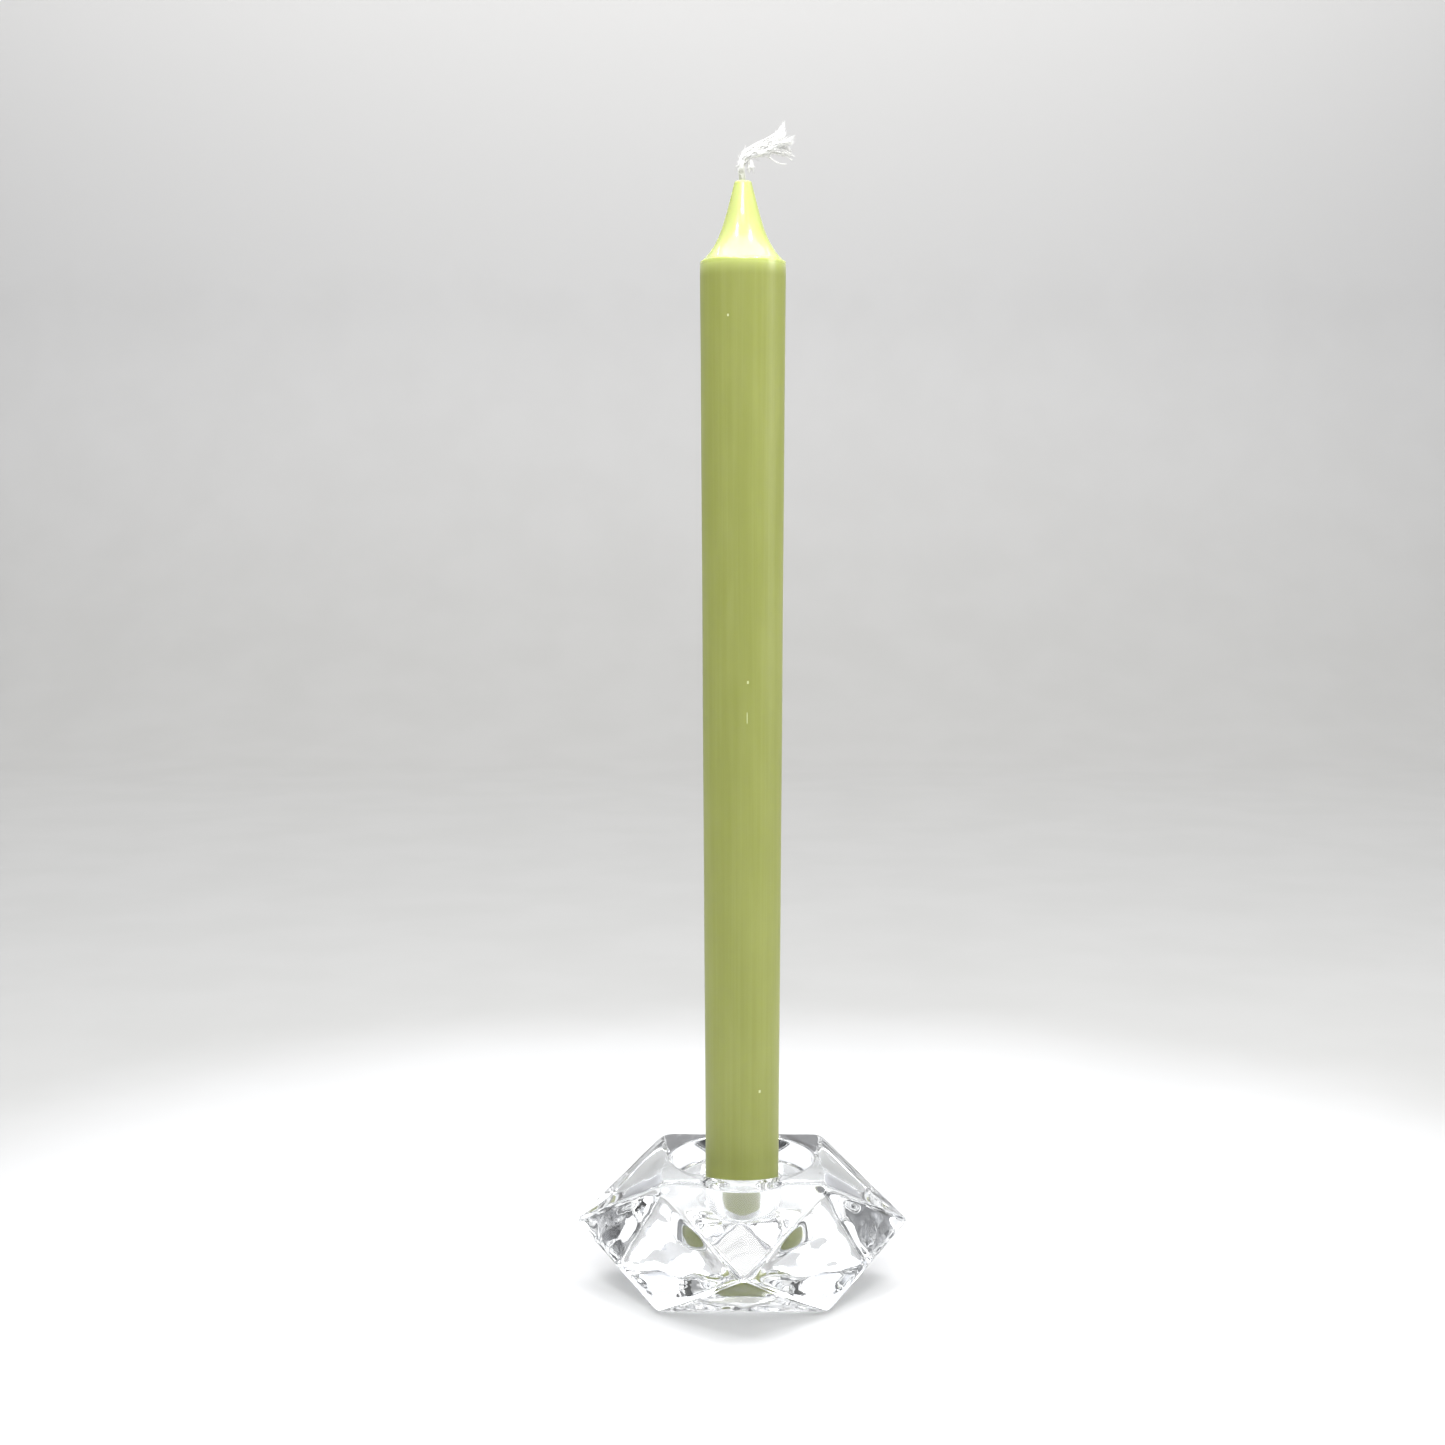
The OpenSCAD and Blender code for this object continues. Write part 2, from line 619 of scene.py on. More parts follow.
def unit(vectors: np.ndarray) -> np.ndarray:
    """Vectors along the last axis, made one long."""
    return vectors / np.linalg.norm(vectors, axis=-1, keepdims=True)


def bent_lines(begin: np.ndarray, knee: np.ndarray, tail: np.ndarray) -> np.ndarray:
    """Quadratic Bezier curves of ten points, from begin to tail and drawn towards knee."""
    t = np.linspace(0, 1, 10)[None, :, None]
    return (1 - t) ** 2 * begin[:, None] + 2 * (1 - t) * t * knee[:, None] + t**2 * tail[:, None]


def frames_along(
    path: np.ndarray, side: Sequence[float] = (0.0, 1.0, 0.0)
) -> tuple[np.ndarray, np.ndarray]:
    """Two directions square to a path at each of its points.

    Args:
        path: Points, with x, y and z on the last axis and the path on the one before it.
        side: A direction that the path never runs along.

    Returns:
        The first direction, square to the path and to side, and the second, square to both.
    """
    way = unit(np.gradient(path, axis=-2))
    first = unit(np.cross(side, way))
    return first, np.cross(way, first)


# ---- glass holder


@dataclass
class GlassHolder:
    """The pressed glass block with its well and socket, open by a hair at the top of the lip."""

    height: float
    across: float
    square_half: float = 22.9 * MM
    edge_softness: float = 0.5 * MM
    well_rim_r: float = 20.7 * MM
    well_floor_r: float = 19.8 * MM
    well_depth: float = 6.5 * MM
    well_fillet: float = 1.4 * MM
    lip_softness: float = 0.3 * MM
    lip_width: float = 0.75 * MM
    lip_drop: float = 1.4 * MM
    socket_mouth_r: float = 11.4 * MM
    socket_floor_r: float = 11.0 * MM
    socket_depth: float = 15.5 * MM
    socket_fillet: float = 1.6 * MM
    socket_lip: float = 0.8 * MM
    ripple: float = 0.11 * MM
    rows: int = 44
    crowding: float = 0.86
    ring_rows: int = 13
    lip_rows: int = 14

    @property
    def waist(self) -> float:
        """Distance from the axis to a waist point before its rounding."""
        return self.across / 2 + 2.1 * self.edge_softness

    @property
    def centre(self) -> np.ndarray:
        """The middle of the block."""
        return np.array([0, 0, self.height / 2])

    def planes(self) -> tuple[np.ndarray, np.ndarray]:
        """The planes of the fourteen faces, about the middle of the block.

        The top and the base lie at half the height. A three-sided face runs from an edge of the
        square to a waist point, so its normal is half the height outwards and the overhang
        upwards, made one long. A four-sided face is upright and passes through two waist points.

        Returns:
            The outward normals and their distances from the middle.
        """
        half, overhang = self.height / 2, self.waist - self.square_half
        out, up = np.array([half, overhang]) / math.hypot(half, overhang)
        turns = np.arange(4) * math.pi / 2
        round_way = np.stack([np.cos(turns), np.sin(turns)], -1)
        slant_way = np.stack([np.cos(turns + math.pi / 4), np.sin(turns + math.pi / 4)], -1)
        level = np.ones((4, 1))
        normals = np.concatenate([
            np.hstack([round_way * out, level * up]),
            np.hstack([round_way * out, -level * up]),
            np.hstack([slant_way, 0 * level]),
            [[0, 0, 1], [0, 0, -1]],
        ])
        reach = [self.waist * out] * 8 + [self.waist / math.sqrt(2)] * 4 + [half] * 2
        return normals, np.array(reach)

    def outside(self, points: np.ndarray) -> np.ndarray:
        """How far points lie outside the softened block; it is 0 on the surface.

        It is the softened largest of the distances to the planes: the logarithm of the sum of
        their exponentials, which rounds every edge and point.

        Args:
            points: Points about the middle of the block.

        Returns:
            One distance for each point.
        """
        normals, reach = self.planes()
        ratio = (points @ normals.T - reach) / self.edge_softness
        top = ratio.max(-1)
        return self.edge_softness * (top + np.log(np.exp(ratio - top[..., None]).sum(-1)))

    def outside_lip(self, points: np.ndarray) -> np.ndarray:
        """How far points lie outside the block with its well cut, softened at the lip.

        Args:
            points: Points about the middle of the block.

        Returns:
            One distance for each point.
        """
        radius = np.hypot(points[..., 0], points[..., 1])
        draft = (self.well_rim_r - self.well_floor_r) / self.well_depth
        wall = self.well_rim_r + (points[..., 2] - self.height / 2) * draft
        well = (wall - radius) / math.hypot(1, draft)
        block = self.outside(points)
        top = np.maximum(well, block)
        soft = self.lip_softness
        return top + soft * np.log(np.exp((well - top) / soft) + np.exp((block - top) / soft))

    @staticmethod
    def reach_surface(level, start: np.ndarray, way: np.ndarray, far: float) -> np.ndarray:
        """Walks from points inside along directions to where a level is 0, by halving.

        Args:
            level: A function that is negative inside and positive outside.
            start: Points inside.
            way: The directions.
            far: A share of the direction that is surely outside.

        Returns:
            The points on the surface.
        """
        low = np.zeros(np.broadcast_shapes(start.shape, way.shape)[:-1])
        high = low + far
        for _ in range(40):
            middle = (low + high) / 2
            inside = level(start + middle[..., None] * way) < 0
            low, high = np.where(inside, middle, low), np.where(inside, high, middle)
        return start + low[..., None] * way

    def on_block(self, points: np.ndarray) -> np.ndarray:
        """Moves points straight towards or away from the middle onto the softened block."""
        way = points - self.centre
        origin = np.zeros_like(way)
        return self.reach_surface(self.outside, origin, way, 1.3) + self.centre

    def crowded(self) -> np.ndarray:
        """Shares from 0 to 1 that crowd at both ends: the share less a part of its sine."""
        even = np.linspace(0, 1, self.rows + 1)
        return even - self.crowding * np.sin(2 * math.pi * even) / (2 * math.pi)

    def facet(self, *corners: np.ndarray) -> np.ndarray:
        """A face between four corners, as a grid that crowds at its edges, on the block.

        The point at shares s and t is the mean of the corners weighed by s and t.

        Args:
            corners: The corners in order; two equal ones make a three-sided face.

        Returns:
            A grid of points.
        """
        a, b, c, d = corners
        share = self.crowded()
        s, t = share[None, :, None], share[:, None, None]
        return self.on_block((1 - t) * ((1 - s) * a + s * b) + t * ((1 - s) * d + s * c))

    def corners(self) -> tuple[np.ndarray, np.ndarray, np.ndarray]:
        """The sharp corners: the four waist points, then the squares' corners above and below."""
        turns = np.arange(4) * math.pi / 2 - math.pi / 2
        waist = self.waist * np.stack([np.cos(turns), np.sin(turns), 0 * turns], -1)
        half = (self.square_half + self.waist / 2) / 2
        diagonal = turns + math.pi / 4
        square = half * math.sqrt(2) * np.stack([np.cos(diagonal), np.sin(diagonal), 0 * turns], -1)
        return waist + self.centre, square + [0, 0, self.height], square

    def top_ring(self, above: np.ndarray) -> tuple[np.ndarray, np.ndarray]:
        """The flat between the square's edges and the lip of the well.

        Args:
            above: The four corners of the top square.

        Returns:
            The grid from the edges inwards, and the angles of its columns.
        """
        share = self.crowded()[:-1, None]
        sides = [a + share * (b - a) for a, b in zip(np.roll(above, 1, 0), above)]
        edge = np.concatenate(sides)
        angles = np.arctan2(edge[:, 1], edge[:, 0])
        lip = self.lip_start(angles)
        steps = np.linspace(0, 1, self.ring_rows)[:, None, None] ** 1.5
        return self.on_block(edge + steps * (lip - edge)), angles

    def lip_start(self, angles: np.ndarray) -> np.ndarray:
        """The points at the top of the lip, straight above the middle of its round."""
        return self.lip(angles, np.array([math.pi / 2]))[0]

    def lip(self, angles: np.ndarray, turns: np.ndarray) -> np.ndarray:
        """The round lip between the top and the wall of the well.

        From a point inside the glass, a little out from the rim and below the top, a direction
        turns from straight up to straight inwards, and meets the softened surface.

        Args:
            angles: The angles of the columns about the axis.
            turns: The directions, a quarter turn for up and half a turn for inwards.

        Returns:
            A grid of points, one row for each direction.
        """
        out = np.stack([np.cos(angles), np.sin(angles), 0 * angles], -1)
        start = (self.well_rim_r + self.lip_width) * out
        start = start + [0, 0, self.height / 2 - self.lip_drop]
        turn = turns[:, None, None]
        way = np.cos(turn) * out + np.sin(turn) * np.array([0, 0, 1.0])
        return self.reach_surface(self.outside_lip, start, way, 6 * MM) + self.centre

    def hollow(self, first: np.ndarray) -> np.ndarray:
        """The profile of the well below its lip, and of the socket.

        Args:
            first: Radius and height where the lip ends.

        Returns:
            Radius and height of each point down to the middle of the socket's floor.
        """
        well_floor = self.height - self.well_depth
        socket_floor = well_floor - self.socket_depth
        corners = [
            first,
            (self.well_floor_r, well_floor),
            (self.socket_mouth_r, well_floor),
            (self.socket_floor_r, socket_floor),
            (0.0, socket_floor),
        ]
        radii = (self.well_fillet, self.socket_lip, self.socket_fillet)
        return rounded_path(corners, radii, 0.7 * MM)

    def uneven(self, mesh: bpy.types.Mesh) -> None:
        """Moves the surface along its normals by slow waves, as pressed glass has.

        The height is the sum of three sine waves in different directions, and it fades out at the
        base so that the glass still stands flat.

        Args:
            mesh: The mesh to change.
        """
        count = len(mesh.vertices)
        place, normal = np.empty(count * 3), np.empty(count * 3, np.float32)
        mesh.vertices.foreach_get("co", place)
        mesh.vertex_normals.foreach_get("vector", normal)
        place, normal = place.reshape(-1, 3), normal.reshape(-1, 3)
        waves = np.array([[410.0, 150.0, 330.0], [-240.0, 380.0, 290.0], [190.0, -330.0, 520.0]])
        height = np.sin(place @ waves.T + [0.4, 2.1, 4.4]).sum(-1) / 3
        fade = np.clip(place[:, 2] / (2 * MM), 0, 1) * (normal[:, 2] < 0.98)
        moved = place + normal * (self.ripple * height * fade)[:, None]
        mesh.vertices.foreach_set("co", moved.ravel())
        mesh.update()

    def build(self) -> bpy.types.Object:
        """Puts the faces, the top ring, the lip and the hollow into one piece.

        The weld doesn't join the top ring to the lip: their rows are about 0.04 mm apart.
        """
        shell = Shell()
        waist, above, below = self.corners()
        for k in range(4):
            after = (k + 1) % 4
            shell.add(self.facet(waist[k], above[k], waist[after], below[k]))
            for square in (above, below):
                shell.add(self.facet(waist[k], waist[k], square[k], square[k - 1]))
        shell.add(self.facet(*below))
        ring, angles = self.top_ring(above)
        shell.add(ring, wrap_cols=True)
        lip = self.lip(angles, np.linspace(math.pi / 2, math.pi, self.lip_rows))
        shell.add(lip, wrap_cols=True)
        end = lip[-1]
        first = (float(np.hypot(end[:, 0], end[:, 1]).mean()), float(end[:, 2].mean()))
        hollow = turned(self.hollow(np.array(first)), angles)
        hollow[0] = end
        shell.add(hollow, wrap_cols=True)
        piece = shell.build("glass_block")
        self.uneven(piece.data)
        return piece

    def dress(self, piece: bpy.types.Object) -> None:
        """Gives the glass its finish and its place in the frame."""
        piece.data.materials.append(PressedGlass().material())
        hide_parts("glass_holder")
        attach(piece, Body.HOLDER.value)


# ---- candle


@dataclass
class Candle:
    """The wax of the dinner candle: a slender turned body with a flared, pointed tip."""

    foot_z: float
    top_z: float
    shoulder_r: float
    foot_r: float = 10.5 * MM
    foot_bevel: float = 2.0 * MM
    shoulder_lip: float = 0.5 * MM
    tip_height: float = 22.1 * MM
    tip_r: float = 2.3 * MM
    tip_round: float = 0.7 * MM
    bore_r: float = 0.86 * MM
    straight_share: float = 0.62
    flare_power: float = 5.0
    columns: int = 144
    bore_rows: int = 40
    tip_rows: int = 44

    @property
    def shoulder_z(self) -> float:
        """Height of the shoulder."""
        return self.top_z - self.tip_height

    def tip_run(self) -> np.ndarray:
        """The concave tip, from just above the shoulder to the end, as radius and height.

        It is a straight taper plus a power that flares it at the shoulder.
        """
        left = 1 - np.linspace(0, 1, self.tip_rows + 1)[1:]
        spread = self.shoulder_r - self.shoulder_lip - self.tip_r
        shape = self.straight_share * left + (1 - self.straight_share) * left**self.flare_power
        return np.stack([self.tip_r + spread * shape, self.top_z - self.tip_height * left], -1)

    def profile(self) -> np.ndarray:
        """The closed outline: foot, side, shoulder, tip, then down the bore to the foot."""
        shoulder, lip = self.shoulder_z, self.shoulder_lip
        side = rounded_path(
            [
                (self.bore_r, self.foot_z),
                (self.foot_r - self.foot_bevel, self.foot_z),
                (self.foot_r, self.foot_z + 1.5 * self.foot_bevel),
                (self.shoulder_r, shoulder - lip),
            ],
            (0.5 * MM, 1.5 * MM),
            1.6 * MM,
        )
        turn = np.linspace(0, math.pi / 2, 7)[1:]
        rim = np.array([self.shoulder_r - lip, shoulder - lip])
        rim = rim + lip * np.stack([np.cos(turn), np.sin(turn)], -1)
        tip = self.tip_run()
        end = [tip[-3], (self.tip_r, self.top_z), (self.bore_r, self.top_z - 0.3 * MM)]
        end = rounded_path(end, (self.tip_round,), 0.4 * MM)
        down = np.linspace(self.top_z - 1 * MM, self.foot_z, self.bore_rows + 1)[:-1]
        bore = np.stack([np.full_like(down, self.bore_r), down], -1)
        return np.concatenate([side, rim, tip[:-3], end, bore])

    def build(self) -> bpy.types.Object:
        """Turns the outline and adds the slow unevenness of a drawn and dipped candle."""
        angles = np.linspace(0, 2 * math.pi, self.columns, endpoint=False)
        grid = turned(self.profile(), angles)
        radius = np.hypot(grid[..., 0], grid[..., 1])
        outer = np.clip((radius - 2 * MM) / (2 * MM), 0, 1)
        height = grid[..., 2]
        sway = 0.035 * MM * np.sin(3 * angles + 26 * height) * np.sin(70 * height + angles)
        near = np.exp(-(((height - self.shoulder_z) / (1.5 * MM)) ** 2))
        sag = 0.16 * MM * near * (np.sin(2 * angles + 0.8) + 0.6 * np.sin(5 * angles))
        scale = 1 + sway * outer / np.maximum(radius, MM)
        grid[..., 0] *= scale
        grid[..., 1] *= scale
        grid[..., 2] += sag * outer
        shell = Shell()
        shell.add(grid, wrap_rows=True, wrap_cols=True)
        return shell.build("wax_body")

    def dress(self, piece: bpy.types.Object) -> None:
        """Gives the wax its finish and its place in the frame."""
        piece.data.materials.append(CandleWax(self.shoulder_z, self.foot_z).material())
        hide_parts("candle_wax")
        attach(piece, Body.CANDLE.value)


# ---- wick


@dataclass
class Wick:
    """The cotton wick: a braided core, bent over above the wax, that ends in loose fibres."""

    foot_z: float
    wax_top_z: float
    reach: float
    rise: float
    core_r: float = 0.8 * MM
    fibre_r: float = 0.1 * MM
    fibres: int = 640
    tufts: int = 12
    fuzz: int = 170
    side_tuft: int = 90
    braid_sides: int = 24
    soak_height: float = 5.2 * MM
    fray_soak: float = 0.2
    seed: int = 7

    def route(self) -> np.ndarray:
        """The bent end's centre line: up out of the wax, over to the side, then out and up."""
        shares = np.array([
            [-0.02, -0.20], [-0.01, 0.00], [-0.03, 0.16], [-0.02, 0.30], [0.03, 0.40],
            [0.14, 0.44], [0.26, 0.455], [0.40, 0.475], [0.54, 0.53], [0.66, 0.60],
        ])
        return smooth_curve(self.bend_point(shares[:, 0], shares[:, 1]), 90)

    def bend_point(self, across: np.ndarray | float, up: np.ndarray | float) -> np.ndarray:
        """A point beside the bent end, in the plane of the bend.

        Args:
            across: Share of the reach.
            up: Share of the rise.

        Returns:
            The point, with x, y and z on the last axis.
        """
        across, up = np.asarray(across), np.asarray(up)
        depth = -0.04 * self.reach * across
        return np.stack([across * self.reach, depth, self.wax_top_z + up * self.rise], -1)

    def braid(self, path: np.ndarray, radius: np.ndarray) -> np.ndarray:
        """A tube whose skin has the lumps of two sets of strands that cross.

        The radius is lifted by the larger of two sine waves, one that winds each way round.

        Args:
            path: The centre line.
            radius: The radius at each point of the path.

        Returns:
            A grid of points, closed at both ends by a point.
        """
        first, second = frames_along(path)
        angle = np.linspace(0, 2 * math.pi, self.braid_sides, endpoint=False)[None, :]
        run = np.concatenate([[0], np.cumsum(np.linalg.norm(np.diff(path, axis=0), axis=1))])
        wind = (run / (0.62 * MM))[:, None]
        lumps = np.maximum(np.sin(3 * angle + wind), np.sin(3 * angle - wind))
        size = radius[:, None] * (0.93 + 0.13 * lumps)
        ring = path[:, None] + size[..., None] * (
            np.cos(angle)[..., None] * first[:, None] + np.sin(angle)[..., None] * second[:, None]
        )
        ends = [np.repeat(path[k][None, None], self.braid_sides, axis=1) for k in (0, -1)]
        return np.concatenate([ends[0], ring, ends[1]])

    def core(self) -> bpy.types.Object:
        """The braid through the candle, and its bent end."""
        bend = self.route()
        inner = np.linspace([0, 0, self.foot_z], bend[0], 500)[:-1]
        path = np.concatenate([inner, bend])
        thin = np.full(len(inner), 0.98)
        taper = 1.0 + 0.25 * np.sin(np.linspace(0, 1, len(bend)) * math.pi)
        taper[-12:] *= np.linspace(1, 0.45, 12)
        radius = self.core_r * np.concatenate([thin, taper])
        shell = Shell()
        shell.add(self.braid(path, radius), wrap_cols=True)
        return shell.build("wick_braid")

    def fan(self) -> np.ndarray:
        """Centre lines of the loose fibres.

        A fibre leaves the braid at a chance place past its bend and keeps close to it. It then
        turns to its tuft's place on the fan's rim and ends there, or a little short of it. Its
        points are a cubic Bezier curve with a slow wave that grows towards the end.

        Returns:
            Points by fibre, along the fibre, and x, y, z.
        """
        chance = np.random.default_rng(self.seed)
        path = self.route()
        way = unit(np.gradient(path, axis=0))
        count = self.fibres
        leave = (len(path) * chance.uniform(0.24, 0.92, count)).astype(int)
        start = path[leave] + chance.normal(0, 0.62 * self.core_r, (count, 3))
        rim = np.array([
            [0.52, 0.62], [0.62, 0.72], [0.70, 0.84], [0.81, 1.04], [0.84, 0.98], [0.88, 0.84],
            [1.00, 0.74], [0.95, 0.64], [0.98, 0.56], [1.00, 0.48], [0.99, 0.38], [0.80, 0.42],
        ])
        tuft = chance.integers(0, self.tufts, count)
        place = tuft * (len(rim) - 1) / (self.tufts - 1) + chance.normal(0, 0.2, count)
        rim_x = np.interp(place, np.arange(len(rim)), rim[:, 0]) * self.reach
        rim_z = np.interp(place, np.arange(len(rim)), rim[:, 1]) * self.rise + self.wax_top_z
        root = path[int(0.6 * len(path))]
        far = chance.uniform(0.9, 1.04, self.tufts)[tuft, None]
        far = far * (1 - 0.5 * chance.random(count)[:, None] ** 2.2)
        deep = chance.normal(0, 1.0 * MM, self.tufts)[tuft] + chance.normal(0, 0.4 * MM, count)
        end = root + (np.stack([rim_x, root[1] + deep, rim_z], -1) - root) * far
        gap = np.linalg.norm(end - start, axis=1)[:, None]
        pull = start + way[leave] * gap * 0.35
        droop = path[-1] + (end - path[-1]) * 0.3 + chance.normal(0, 0.25 * MM, (count, 3))
        t = np.linspace(0, 1, 10)[None, :, None]
        a, b, c, d = (p[:, None] for p in (start, pull, droop, end))
        line = (1 - t) ** 3 * a + 3 * (1 - t) ** 2 * t * b + 3 * (1 - t) * t**2 * c + t**3 * d
        phase = chance.random((count, 1, 3)) * 2 * math.pi
        curl = 0.34 * MM * t**2 * np.sin(phase + t * chance.uniform(4, 10, (count, 1, 1)))
        return line + curl

    def short_fuzz(self) -> np.ndarray:
        """Centre lines of the short hairs that stand off the braid round its bend.

        Each begins inside the braid and curls outwards in a chance direction.
        """
        chance = np.random.default_rng(self.seed + 2)
        path, count = self.route(), self.fuzz
        leave = (len(path) * chance.triangular(0.14, 0.34, 0.95, count)).astype(int)
        way = unit(chance.normal(0, 1, (count, 3)))
        along = unit(np.gradient(path, axis=0)[leave])
        size = chance.uniform(1.2, 2.6, (count, 1)) * self.core_r
        begin, knee = path[leave], path[leave] + way * size * 0.6
        tail = knee + (0.5 * way + along + chance.normal(0, 0.5, (count, 3))) * size * 0.5
        return bent_lines(begin, knee, tail)

    def wisps(self) -> np.ndarray:
        """Centre lines of the small tuft beside the stalk and of the stray fibres."""
        chance = np.random.default_rng(self.seed + 1)
        count = self.side_tuft
        spread = chance.normal(0, 1, (3, count, 3)) * [[[0.2 * MM]], [[0.4 * MM]], [[0.55 * MM]]]
        shares = np.array([[0.08, 0.42], [0.17, 0.34], [0.13, 0.19]])
        knots = np.array([self.bend_point(x, z) for x, z in shares])[:, None] + spread
        strays = np.array([
            [[0.45, 0.42], [0.66, 0.26], [0.83, 0.27]],
            [[0.62, 0.45], [0.80, 0.44], [0.94, 0.33]],
            [[0.70, 0.44], [0.86, 0.50], [0.98, 0.38]],
            [[-0.03, 0.30], [-0.09, 0.27], [-0.14, 0.24]],
            [[-0.02, 0.40], [-0.09, 0.30], [-0.07, 0.08]],
        ])
        stray = self.bend_point(strays[..., 0], strays[..., 1])
        thick = np.repeat(stray, 5, axis=0) + chance.normal(0, 0.12 * MM, (5 * len(stray), 3, 3))
        begin, knee, tail = np.concatenate([knots, thick.transpose(1, 0, 2)], axis=1)
        return bent_lines(begin, knee, tail)

    def fray(self) -> bpy.types.Object:
        """All loose fibres, as thin five-sided tubes that come to a point."""
        line = np.concatenate([self.fan(), self.short_fuzz(), self.wisps()])
        first, second = frames_along(line, (0.12, 0.98, 0.16))
        sides = 5
        angle = np.arange(sides) * 2 * math.pi / sides
        size = self.fibre_r * np.linspace(1.15, 0.35, line.shape[1])
        size[0] = size[-1] = 0.0
        around = (
            np.cos(angle)[:, None] * first[:, :, None] + np.sin(angle)[:, None] * second[:, :, None]
        )
        tubes = line[:, :, None] + size[None, :, None, None] * around
        shell = Shell()
        for tube in tubes:
            shell.add(tube, wrap_cols=True)
        return shell.build("wick_fibres", weld=0.0001 * MM)

    def dress(self, core: bpy.types.Object, fray: bpy.types.Object) -> None:
        """Gives the cotton its finish and its place in the frame."""
        for piece, soak in ((core, self.soak_height), (fray, self.fray_soak * self.soak_height)):
            piece.data.materials.append(Cotton(self.wax_top_z, soak).material())
            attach(piece, Body.CANDLE.value)
        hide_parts("wick")


# ---- stage, light and camera


@dataclass(frozen=True)
class Softbox:
    """A flat, even lamp."""

    name: str
    place: tuple[float, float, float]
    aim: tuple[float, float, float]
    size: tuple[float, float]
    power: float
    colour: Colour = (1.0, 1.0, 1.0)


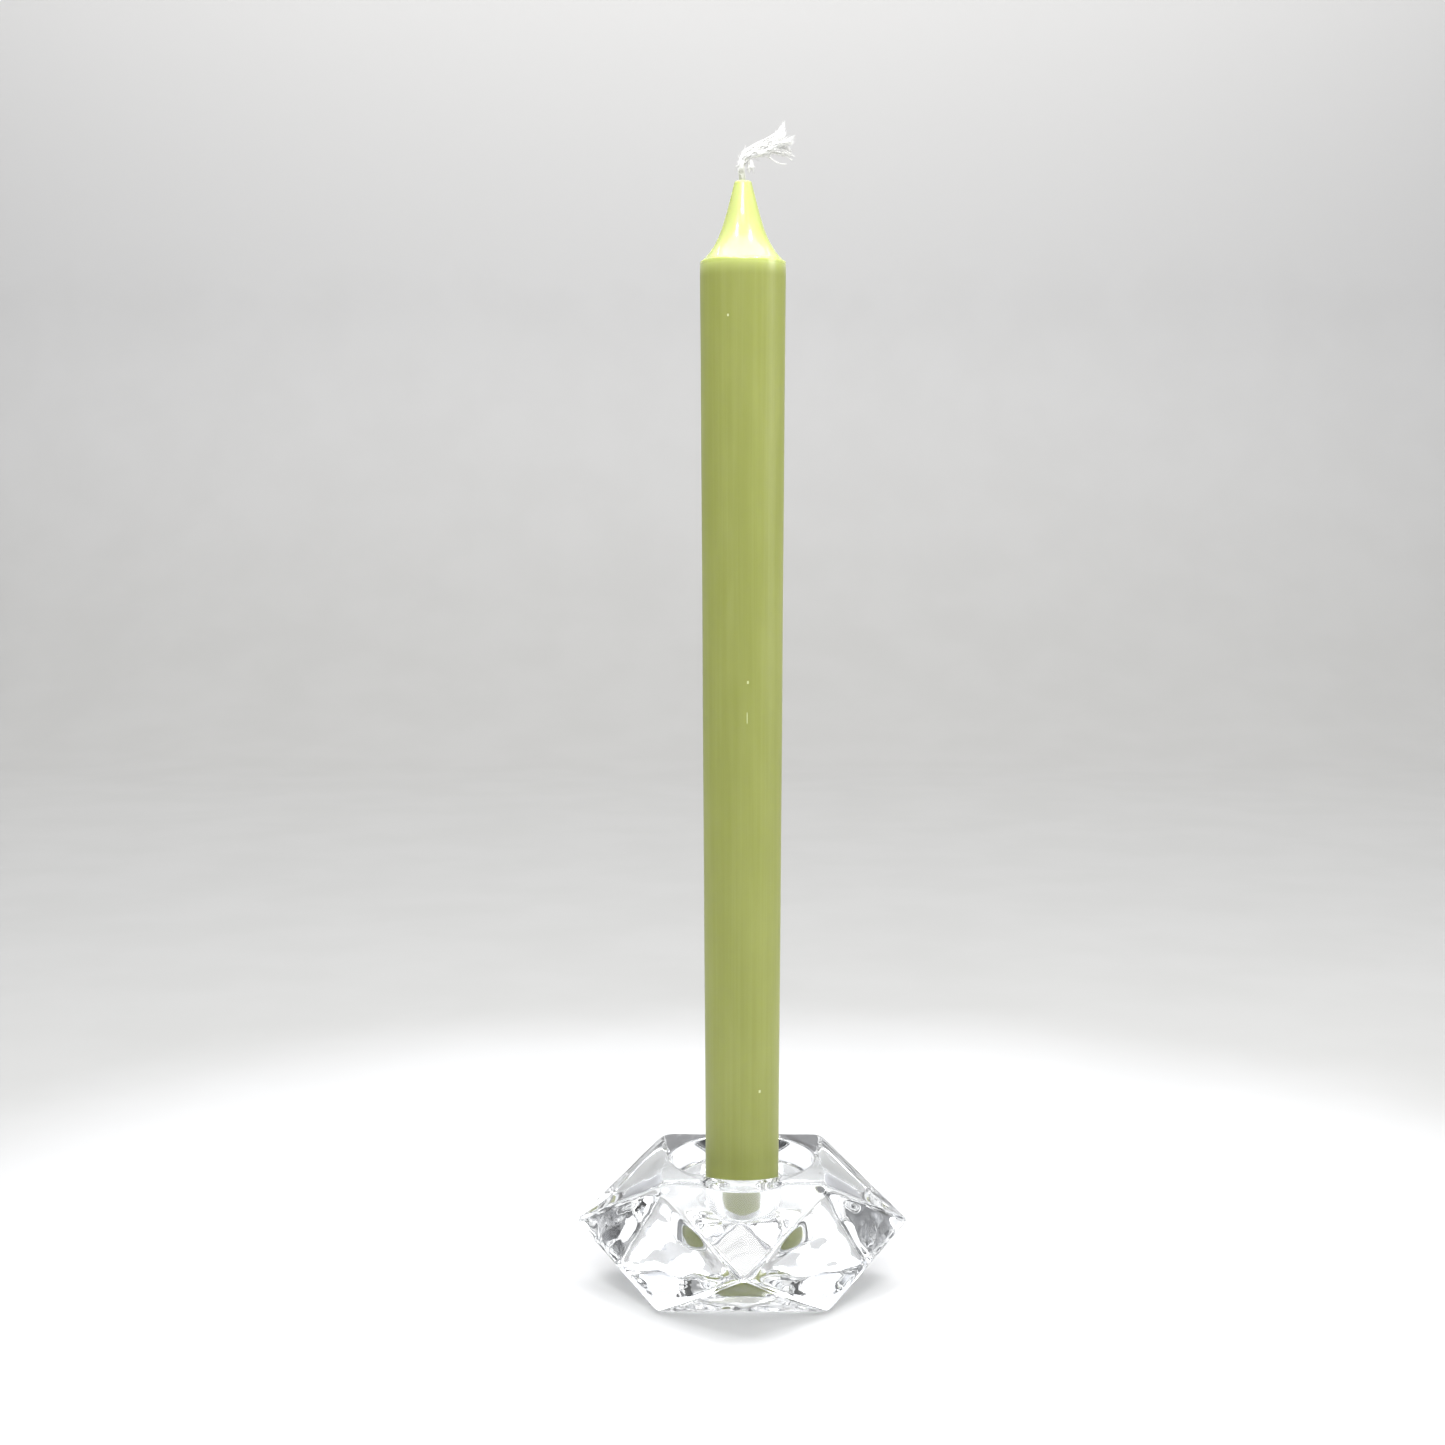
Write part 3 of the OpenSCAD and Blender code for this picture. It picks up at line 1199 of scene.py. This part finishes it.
@dataclass
class Stage:
    """The paper floor that sweeps up behind, the softboxes, the room and the camera."""

    floor_back: float = 1.3
    air_gap: float = 0.15 * MM
    sweep_r: float = 0.5
    wall_height: float = 1.0
    half_width: float = 2.8
    front: float = -2.8
    room_dim: float = 0.07
    room_pale: float = 0.24
    room_high: float = 1.2
    room_colour: Colour = (0.93, 0.95, 1.0)
    patch_range: tuple[float, float] = (0.42, 0.60)
    above_range: tuple[float, float] = (0.46, 0.78)
    softboxes: tuple[Softbox, ...] = (
        Softbox("overhead", (0.0, -0.04, 0.90), (0.0, -0.02, 0.0), (0.9, 0.6), 6.2),
        Softbox(
            "backdrop_wash", (0.0, 1.0, 1.7), (0.0, 1.8, 0.9), (2.4, 0.3), 27.0, (1.0, 0.985, 0.96)
        ),
        Softbox("front_fill", (-0.02, -1.0, 1.0), (0.0, 0.0, 0.28), (0.5, 0.3), 7.0),
        Softbox("right", (0.9, -0.1, 0.42), (0.0, 0.0, 0.2), (0.35, 0.7), 2.8),
        Softbox("left_glint", (-0.20, -0.26, 0.69), (0.0, 0.0, 0.31), (0.06, 0.10), 1.0),
        Softbox("right_glint", (0.20, -0.18, 0.69), (0.0, 0.0, 0.31), (0.05, 0.10), 0.9),
    )
    camera_place: tuple[float, float, float] = (-5.7 * MM, -560 * MM, 216 * MM)
    camera_pitch: float = math.radians(5.23)
    focal_widths: float = 1.36539792
    sensor: float = 36.0

    def sweep(self) -> bpy.types.Object:
        """The floor and backdrop: a flat run, a quarter round and an upright run."""
        turn = np.linspace(0, math.pi / 2, 40)
        curve = np.stack([
            self.floor_back + self.sweep_r * np.sin(turn), self.sweep_r * (1 - np.cos(turn))
        ], -1)
        flat = np.stack([np.linspace(self.front, self.floor_back, 12)[:-1], np.zeros(11)], -1)
        rise = np.linspace(self.sweep_r, self.wall_height, 9)[1:]
        upright = np.stack([np.full(8, self.floor_back + self.sweep_r), rise], -1)
        line = np.concatenate([flat, curve, upright])
        x = np.linspace(-self.half_width, self.half_width, 9)
        low = line[:, 1:] - self.air_gap
        grid = np.stack(np.broadcast_arrays(x[None, :], line[:, :1], low), -1)
        shell = Shell()
        shell.add(grid)
        piece = shell.build("paper_sweep")
        piece.data.materials.append(Paper().material())
        return piece

    def world(self) -> None:
        """The room around the stage: bright above, with paler and dimmer patches all round."""
        made = bpy.data.worlds.new("room")
        made.use_nodes = True
        bpy.context.scene.world = made
        shader = Shader(made.node_tree)
        way = shader.node("ShaderNodeTexCoord").outputs["Generated"]
        split = shader.node("ShaderNodeSeparateXYZ", {}, {0: way})
        z = Value(shader, split.outputs[2])
        inputs = {"Vector": way, "Scale": 2.0, "Detail": 1.0}
        patch = Value(shader, shader.node("ShaderNodeTexNoise", {}, inputs).outputs[0])
        around = self.room_dim + patch.ramp(*self.patch_range) * (self.room_pale - self.room_dim)
        above = z.ramp(*self.above_range)
        strength = around * (1 - above) + above * self.room_high
        inputs = {"Color": self.room_colour, "Strength": strength}
        shader.surface("ShaderNodeBackground", inputs, "ShaderNodeOutputWorld")

    def lamps(self) -> None:
        """Hangs the softboxes, each turned towards its aim."""
        for box in self.softboxes:
            data = bpy.data.lights.new(box.name, "AREA")
            data.shape = "RECTANGLE"
            data.size, data.size_y = box.size
            data.energy = box.power
            data.color = box.colour
            made = linked(box.name, data)
            made.location = box.place
            way = Vector(box.aim) - Vector(box.place)
            made.rotation_euler = way.to_track_quat("-Z", "Y").to_euler()

    def camera(self) -> None:
        """A level-headed view from the front, a little above the glass."""
        data = bpy.data.cameras.new("view")
        data.sensor_width = self.sensor
        data.lens = self.sensor * self.focal_widths
        data.clip_start, data.clip_end = 0.01, 20.0
        made = linked("view", data)
        made.location = self.camera_place
        made.rotation_euler = (math.pi / 2 - self.camera_pitch, 0.0, 0.0)
        bpy.context.scene.camera = made

    def quality(self) -> None:
        """Plain colour and enough bounces for light to pass through the glass."""
        scene = bpy.context.scene
        scene.view_settings.view_transform = "Standard"
        scene.cycles.max_bounces = 20
        scene.cycles.transmission_bounces = 18
        scene.cycles.glossy_bounces = 10
        scene.cycles.diffuse_bounces = 12
        scene.cycles.sample_clamp_indirect = 6.0

    def build(self) -> None:
        """Sets the whole stage."""
        self.camera()
        self.sweep()
        self.world()
        self.lamps()
        self.quality()


def main() -> None:
    """Builds the stage, the glass, the candle and the wick, and reports each piece."""
    logging.basicConfig(level=logging.INFO, format="%(message)s")
    Stage().build()

    low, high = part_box("glass_holder")
    holder = GlassHolder(height=high.z - low.z, across=high.x - low.x)
    block = holder.build()
    holder.dress(block)

    foot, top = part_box("candle_wax")
    candle = Candle(foot_z=foot.z, top_z=top.z, shoulder_r=(top.x - foot.x) / 2)
    wax = candle.build()
    candle.dress(wax)

    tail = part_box("wick")[1]
    wick = Wick(foot_z=foot.z, wax_top_z=top.z, reach=tail.x, rise=tail.z - top.z)
    core, fray = wick.core(), wick.fray()
    wick.dress(core, fray)

    for piece in (block, wax, core, fray):
        LOG.info("%s: %d faces", piece.name, len(piece.data.polygons))


if __name__ == "__main__":
    main()
